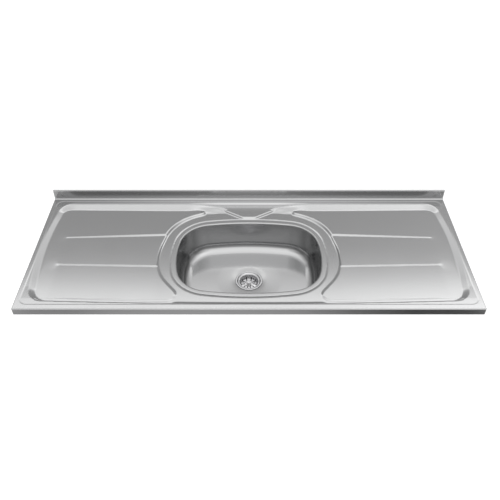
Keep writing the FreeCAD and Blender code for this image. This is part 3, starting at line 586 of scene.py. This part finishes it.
def finished_piece(bm, name, body, material, faces_up=True):
    """Makes a piece of sheet of a mesh, with its thickness below its face, smooth but for its
    sharp edges, and rides it on its body."""
    bmesh.ops.remove_doubles(bm, verts=bm.verts, dist=same_place * mm)
    bmesh.ops.recalc_face_normals(bm, faces=bm.faces)
    lift = sum(face.normal.z * face.calc_area() for face in bm.faces)
    if (lift > 0.0) != faces_up:
        bmesh.ops.reverse_faces(bm, faces=bm.faces)
    mesh = bpy.data.meshes.new(name)
    bm.to_mesh(mesh)
    bm.free()
    piece = bpy.data.objects.new(name, mesh)
    scene.collection.objects.link(piece)
    wall = piece.modifiers.new("sheet", "SOLIDIFY")
    wall.thickness = sheet * mm
    wall.offset = -1.0
    walled = piece.evaluated_get(bpy.context.evaluated_depsgraph_get())
    piece.data = bpy.data.meshes.new_from_object(walled)
    piece.modifiers.remove(wall)
    piece.data.shade_smooth()
    piece.data.set_sharp_from_angle(angle=crease_angle)
    shading = piece.modifiers.new("shading", "WEIGHTED_NORMAL")
    shading.keep_sharp = True
    piece.data.materials.append(material)
    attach(piece, body)
    return piece


# The drainers are the two ends of that sheet, each with two shallow steps that let the water run
# to the gutter in front and to the bowl. Past each drainer the sheet is rounded over and closed.

end_radius = 2.0
end_turns = (18.0, 36.0, 54.0, 72.0, 90.0)
drainer_inner_x = 320.0
drainer_outer_x = top_half[0] - end_radius


def close_end(bm, end_x):
    """Rounds the sheet over at an end and closes the end with one flat face."""
    end_edges = [e for e in bm.edges if e.is_boundary
                 and all(abs(v.co.x - end_x * mm) < same_place * mm for v in e.verts)]
    meeting = {}
    for edge in end_edges:
        for vert in edge.verts:
            meeting.setdefault(vert, []).append(edge)
    row = [min((v for v in meeting if len(meeting[v]) == 1), key=lambda v: v.co.y)]
    used = set()
    while True:
        onward = [e for e in meeting[row[-1]] if e not in used]
        if not onward:
            break
        used.add(onward[0])
        row.append(onward[0].other_vert(row[-1]))
    base = np.array([(v.co.y, v.co.z) for v in row])
    run = np.gradient(base, axis=0)
    run /= np.linalg.norm(run, axis=1)[:, None]
    inward = np.stack((run[:, 1], -run[:, 0]), 1)
    for degrees in end_turns:
        angle = math.radians(degrees)
        x = (end_x + math.copysign(end_radius * math.sin(angle), end_x)) * mm
        shift = inward * end_radius * (1.0 - math.cos(angle)) * mm
        row = next_row(bm, row, [(x, y, z) for y, z in base + shift], closed=False)
    rim = [bm.edges.get(pair) for pair in zip(row, row[1:])]
    rim += bmesh.ops.contextual_create(bm, geom=[row[0], row[-1]])["edges"]
    bmesh.ops.edgeloop_fill(bm, edges=rim)


drainer_columns = grid_lines(drainer_inner_x, [(640.0, 5.0), (686.0, 1.8),
                                               (drainer_outer_x, 2.0)])
for side, name in ((-1.0, "left_drainer"), (1.0, "right_drainer")):
    columns = drainer_columns if side > 0 else -drainer_columns[::-1]
    bm, _ = pressed_grid(columns)
    fold_front_and_back(bm)
    close_end(bm, side * drainer_outer_x)
    finished_piece(bm, name, "sink", satin_steel)


# The middle of the sheet is the bowl's surround, with the tap ledge behind it. An oval opening
# is cut in it, and its edge is set down as the narrow seat that carries the bowl's flange.

seat_level = 12.1
seat_insets = (0.4, 11.0)


def cut_oval_hole(bm, plan, loop):
    """Moves the nearest vertices onto an oval and takes out the faces inside it."""
    bm.verts.ensure_lookup_table()
    bm.verts.index_update()
    gap, outward = distance_to(loop, plan)
    crossed = set()
    for edge in bm.edges:
        first, last = (v.index for v in edge.verts)
        if gap[first] * gap[last] < 0.0:
            crossed.add(first if abs(gap[first]) < abs(gap[last]) else last)
    for index in crossed:
        vert = bm.verts[index]
        move = outward[index] * gap[index] * mm
        vert.co.x -= move[0]
        vert.co.y -= move[1]
        gap[index] = 0.0
    for face in list(bm.faces):
        sides = [gap[v.index] for v in face.verts]
        if min(sides) < 0.0 < max(sides):
            pair = [v for v in face.verts if gap[v.index] == 0.0]
            bmesh.utils.face_split(face, pair[0], pair[1])
    inside = [f for f in bm.faces if max(gap[v.index] for v in f.verts) <= 0.0]
    bmesh.ops.delete(bm, geom=inside, context="FACES")
    return [v for v in bm.verts if gap[v.index] == 0.0]


def ordered_ring(verts):
    """The boundary vertices of a hole, in order round it."""
    ring = [verts[0]]
    while True:
        onward = [e.other_vert(ring[-1]) for e in ring[-1].link_edges if e.is_boundary]
        onward = [v for v in onward if v not in ring[-2:]]
        if not onward or onward[0] is ring[0]:
            return ring
        ring.append(onward[0])


def places_at(points, levels):
    """Plan points at one level, or at a level each, as places in the scene."""
    levels = np.broadcast_to(levels, len(points))
    return [(x * mm, y * mm, level * mm) for (x, y), level in zip(points, levels)]


surround_columns = grid_lines(-drainer_inner_x, [(-200.0, 2.4), (-125.0, 3.0), (125.0, 1.8),
                                                 (200.0, 3.0), (drainer_inner_x, 2.4)])
bm, plan = pressed_grid(surround_columns)
ring = ordered_ring(cut_oval_hole(bm, plan, seat_edge))
ring_plan = np.array([(v.co.x, v.co.y) for v in ring]) / mm
_, ring_outward = distance_to(seat_edge, ring_plan)
for inset in seat_insets:
    ring = next_row(bm, ring, places_at(ring_plan - ring_outward * inset, seat_level),
                    closed=True)
fold_front_and_back(bm)
surround = finished_piece(bm, "bowl_surround", "sink", satin_steel)
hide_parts("sink_top")


# The apron's lower edge is turned in under the top all round, as a narrow flange. The sink rests
# on the cabinet with it.

flange_radius = 1.2
flange_width = 17.0
flange_corner = 0.5
flange_turns = (22.5, 45.0, 67.5, 90.0)


def corner_loop(inset, corner_radius):
    """A rectangle the size of the top, moved in, with small rounded corners."""
    points = []
    for corner in range(4):
        side_x = 1.0 if corner in (0, 3) else -1.0
        side_y = 1.0 if corner in (0, 1) else -1.0
        centre_x = side_x * (top_half[0] - inset - corner_radius)
        centre_y = side_y * (top_half[1] - inset - corner_radius)
        for step in range(5):
            angle = math.radians(90.0 * corner + 22.5 * step)
            points.append((centre_x + corner_radius * math.cos(angle),
                           centre_y + corner_radius * math.sin(angle)))
    return points


def first_row(bm, places):
    """A closed row of vertices at its places."""
    row = list(bmesh.ops.create_circle(bm, segments=len(places), radius=1.0)["verts"])
    for vert, place in zip(row, places):
        vert.co = place
    return row


bm = bmesh.new()
row = first_row(bm, places_at(corner_loop(0.0, end_radius), flange_radius))
for degrees in flange_turns:
    turn = math.radians(degrees)
    inset = flange_radius * (1.0 - math.cos(turn))
    level = flange_radius - flange_radius * math.sin(turn)
    row = next_row(bm, row, places_at(corner_loop(inset, end_radius - inset), level), closed=True)
row = next_row(bm, row, places_at(corner_loop(flange_width, flange_corner), 0.0), closed=True)
finished_piece(bm, "return_flange", "sink", satin_steel, faces_up=False)


# The bowl is drawn from its own sheet. Its flange lies in the ring seat of the top, and its
# floor falls gently to the waste, where it is set down for the waste's ring.

bowl_steel = steel_finish("bowl_steel", (0.58, 0.582, 0.585), roughness=(0.16, 0.2),
                          grain_scale=60.0)
bowl_depth = 113.0
bowl_draft = 8.0
lip_radius = 4.5
fillet_radius = 37.3
fillet_level = -62.0
floor_edge_level = -99.3
back_fall, front_fall = 0.04, 0.28
dish_radius = 110.0
bowl_half_count = 120
flange_rows = [(16.7, 12.6), (16.62, 12.86), (16.35, surround_level), (12.0, surround_level),
               (7.0, surround_level)]
# Each ring of the dish round the waste: its radius and its levels behind and in front
dish_rows = ((104.0, -99.38, -99.76), (96.0, -99.45, -99.99), (84.0, -99.6, -100.34),
             (70.0, -99.85, -100.75), (62.0, -100.1, -100.98), (56.0, -100.5, -101.16),
             (50.0, -101.2, -101.33), (47.0, -101.5, -101.5), (45.6, -101.75, -101.75),
             (45.2, -102.3, -102.3), (45.0, -103.05, -103.05), (40.9, -103.1, -103.1))


def bowl_rows():
    """The bowl's section from the flange's edge to the floor: moves out and heights."""
    lean = math.atan(bowl_draft / bowl_depth)
    turn = math.pi / 2.0 - lean
    rows = list(flange_rows)
    lip_trim = lip_radius * math.tan(turn / 2.0)
    for step in range(7):
        angle = turn * step / 6
        rows.append((lip_trim - lip_radius * math.sin(angle),
                     surround_level - lip_radius + lip_radius * math.cos(angle)))
    top = rows[-1]
    centre = (-bowl_draft - fillet_radius * math.tan(turn / 2.0), fillet_level)
    start = (centre[0] + fillet_radius * math.cos(lean),
             centre[1] - fillet_radius * math.sin(lean))
    for share in (0.25, 0.5, 0.75):
        rows.append((top[0] + (start[0] - top[0]) * share, top[1] + (start[1] - top[1]) * share))
    for step in range(13):
        angle = lean + turn * step / 12
        rows.append((centre[0] + fillet_radius * math.cos(angle),
                     centre[1] - fillet_radius * math.sin(angle)))
    return rows


bm = bmesh.new()
(grow, level), *lower_rows = bowl_rows()
row = first_row(bm, places_at(oval_loop(grow, bowl_half_count)[0], level))
for grow, level in lower_rows:
    floor_loop, _ = oval_loop(grow, bowl_half_count)
    row = next_row(bm, row, places_at(floor_loop, level), closed=True)
angles = np.arctan2(floor_loop[:, 1] - bowl_y, floor_loop[:, 0])
circle = np.stack((np.cos(angles), np.sin(angles)), 1)
drain = np.array((0.0, bowl_y))
front_share = 0.5 - 0.5 * circle[:, 1]


def floor_row(row, loop, back_level, front_level):
    """The next row of the bowl's floor, which lies lower in front of the drain than behind."""
    levels = back_level + (front_level - back_level) * front_share
    return next_row(bm, row, places_at(loop, levels), closed=True)


for share in (0.2, 0.4, 0.6, 0.8, 1.0):
    loop = floor_loop + (drain + circle * dish_radius - floor_loop) * share
    row = floor_row(row, loop, floor_edge_level - back_fall * share,
                    floor_edge_level - front_fall * share)
for radius, back_level, front_level in dish_rows:
    row = floor_row(row, drain + circle * radius, back_level, front_level)
bowl = finished_piece(bm, "drawn_bowl", "sink", bowl_steel)
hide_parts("bowl")


# The waste's cup, its plate and screw, and the basket with its sliding post and knob are small
# pressings and turnings of brighter stainless steel, as is the earth tag under the top.


def dress(names, material):
    """Gives the CAD's own pieces a finish and leaves their shape as it is."""
    for name in names:
        nodes[name].data.materials.clear()
        nodes[name].data.materials.append(material)


bright_steel = steel_finish("bright_steel", (0.72, 0.72, 0.73), roughness=(0.14, 0.22),
                            grain_scale=90.0)
dress(["waste_flange", "cup_plate", "clamp_screw", "strainer_basket", "stopper_post",
       "pull_knob", "post_clip", "earth_tag"], bright_steel)


# The hidden pieces have plain trade finishes: zinc with its spangle on the folded steel, rubber
# and moulded plastic with a fine grit, bitumen pads and a slightly tarnished brass insert.

def mottle_group(name):
    """Node group: a soft mottle, crystal spangle and a fine grit, each from 0 to 1."""
    group = bpy.data.node_groups.new(name, "ShaderNodeTree")
    group.interface.new_socket("Scale", in_out="INPUT", socket_type="NodeSocketFloat")
    for output in ("Mottle", "Spangle", "Grit"):
        group.interface.new_socket(output, in_out="OUTPUT", socket_type="NodeSocketFloat")
    inputs = group.nodes.new("NodeGroupInput")
    outputs = group.nodes.new("NodeGroupOutput")
    place = linked(group, "ShaderNodeTexCoord").outputs["Object"]
    scale = inputs.outputs["Scale"]
    mottle = linked(group, "ShaderNodeTexNoise", {"Vector": place, "Scale": scale,
                                                  "Detail": 4.0, "Roughness": 0.6})
    crystals = linked(group, "ShaderNodeTexVoronoi", {"Vector": place, "Scale": scale})
    spangle = linked(group, "ShaderNodeRGBToBW", {"Color": crystals.outputs["Color"]})
    fine = maths(group, "MULTIPLY", scale, 14.0)
    grit = linked(group, "ShaderNodeTexNoise", {"Vector": place, "Scale": fine,
                                                "Detail": 2.0, "Roughness": 0.5})
    group.links.new(mottle.outputs["Fac"], outputs.inputs["Mottle"])
    group.links.new(spangle.outputs["Val"], outputs.inputs["Spangle"])
    group.links.new(grit.outputs["Fac"], outputs.inputs["Grit"])
    return group


trade_mottle = mottle_group("trade_mottle")


def trade_finish(name, dark, light, roughness, scale, metallic=0.0, pattern="Mottle",
                 grit_height=0.0001):
    """A finish whose tone and roughness follow one pattern, with fine grit as bump."""
    material, shader, tree = node_material(name)
    mottle = linked(tree, "ShaderNodeGroup")
    mottle.node_tree = trade_mottle
    mottle.inputs["Scale"].default_value = scale
    mask = mottle.outputs[pattern]
    tree.links.new(mixed(tree, mask, (*dark, 1.0), (*light, 1.0)), shader.inputs["Base Color"])
    tree.links.new(ranged(tree, mask, levels=roughness), shader.inputs["Roughness"])
    bump = linked(tree, "ShaderNodeBump", {"Height": mottle.outputs["Grit"],
                                           "Strength": 0.3, "Distance": grit_height})
    tree.links.new(bump.outputs["Normal"], shader.inputs["Normal"])
    shader.inputs["Metallic"].default_value = metallic
    return material


galvanised = trade_finish("galvanised_sheet", (0.47, 0.49, 0.5), (0.62, 0.64, 0.65),
                          roughness=(0.34, 0.5), scale=110.0, metallic=1.0, pattern="Spangle")
dress([name for name in nodes if "stiffener" in name or "bracket" in name], galvanised)

rubber = trade_finish("black_rubber", (0.018, 0.018, 0.018), (0.05, 0.05, 0.05),
                      roughness=(0.52, 0.72), scale=40.0, grit_height=0.0002)
dress([name for name in nodes if "seal" in name], rubber)

bitumen = trade_finish("damping_pad", (0.035, 0.034, 0.033), (0.075, 0.073, 0.07),
                       roughness=(0.75, 0.95), scale=60.0, grit_height=0.0005)
dress([name for name in nodes if "pad" in name], bitumen)

plastic = trade_finish("white_plastic", (0.74, 0.74, 0.72), (0.83, 0.83, 0.82),
                       roughness=(0.33, 0.47), scale=30.0)
dress(["waste_body", "outlet_nut", "outlet_tail", "hub_bush"], plastic)

brass = trade_finish("brass", (0.58, 0.43, 0.2), (0.76, 0.59, 0.31),
                     roughness=(0.24, 0.42), scale=80.0, metallic=1.0)
dress(["body_insert"], brass)
